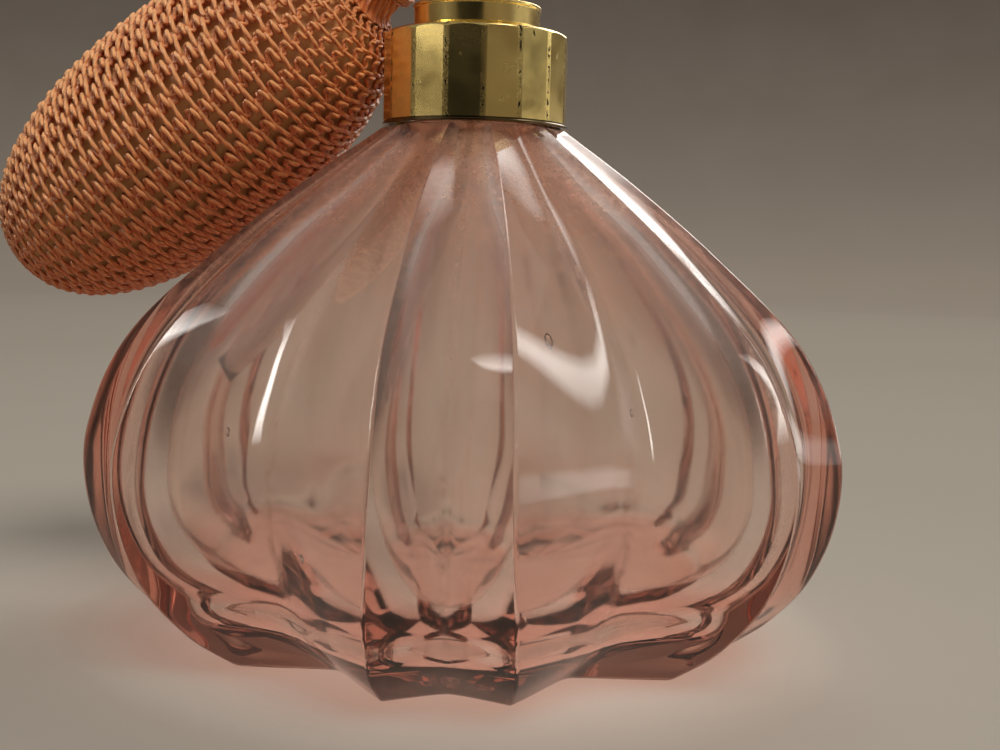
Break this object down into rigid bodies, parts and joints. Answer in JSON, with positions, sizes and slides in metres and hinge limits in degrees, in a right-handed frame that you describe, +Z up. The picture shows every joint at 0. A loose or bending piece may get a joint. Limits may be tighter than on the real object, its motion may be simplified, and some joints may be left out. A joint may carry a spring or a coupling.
{
  "type": "perfume atomizer bottle",
  "caption": "Ribbed pink glass perfume bottle with a faceted brass screw collar, spray head and net-covered squeeze bulb.",
  "frame": {"origin": "middle of the glass foot, on the surface it stands on", "axes": "+Z up through the neck, -Y towards the front pair of ribs, the bulb to the -X side"},
  "size_m": [0.1066, 0.0892, 0.0964],
  "materials": {
    "pink_glass": "polished",
    "brass": "polished, worn",
    "dull_brass": "satin",
    "steel": "polished",
    "yarn": "knitted twisted yarn",
    "bulb_rubber": "matt",
    "seal_rubber": "matt",
    "clear_plastic": "clear"
  },
  "bodies": {
    "glass": {"bottle": "pink_glass"},
    "seal": {"neck_gasket": "seal_rubber", "siphon_tube": "clear_plastic"},
    "collar": {"collar_shell": "brass", "thread_liner": "dull_brass"},
    "head": {"head_flange": "brass", "turret_body": "brass", "retaining_nut": "dull_brass", "finial": "brass", "nozzle_barrel": "brass", "nozzle_tip": "brass", "spray_jet": "steel", "bulb_stem": "brass", "stem_nut": "brass", "net_tie": "yarn"},
    "bulb": {"rubber_bulb": "bulb_rubber", "net_cover": "yarn"},
    "tail_valve": {"intake_valve": "brass", "valve_cage": "brass"},
    "ball": {"valve_ball": "steel"}
  },
  "joints": [
    {"name": "head_lift", "type": "slide", "parent": "glass", "child": "seal", "axis": [0, 0, 1], "range_m": [0, 0.0041]},
    {"name": "collar_turn", "type": "hinge", "parent": "seal", "child": "collar", "pos_m": [0, 0, 0.066], "axis": [0, 0, 1], "range_deg": [0, 470]},
    {"name": "head_swivel", "type": "hinge", "parent": "seal", "child": "head", "pos_m": [0, 0, 0.0726], "axis": [0, 0, 1], "continuous": true},
    {"name": "bulb_raise", "type": "hinge", "parent": "head", "child": "bulb", "pos_m": [-0.01229, 0.00423, 0.07791], "axis": [0.3256, 0.9455, 0], "range_deg": [0, 25], "deforming": ["rubber_bulb", "net_cover"]},
    {"name": "bulb_squeeze", "type": "slide", "parent": "bulb", "child": "tail_valve", "axis": [-0.793, 0.273, -0.5446], "range_m": [0, 0.003], "stiffness_N_per_m": 60, "springref_m": -0.002, "deforming": ["rubber_bulb", "net_cover"]},
    {"name": "ball_lift", "type": "slide", "parent": "tail_valve", "child": "ball", "axis": [0.793, -0.273, 0.5446], "range_m": [0, 0.0008]}
  ],
  "couplings": [
    {"joint": "collar_turn", "follows": "head_lift", "rad_per_m": 1978.9}
  ]
}
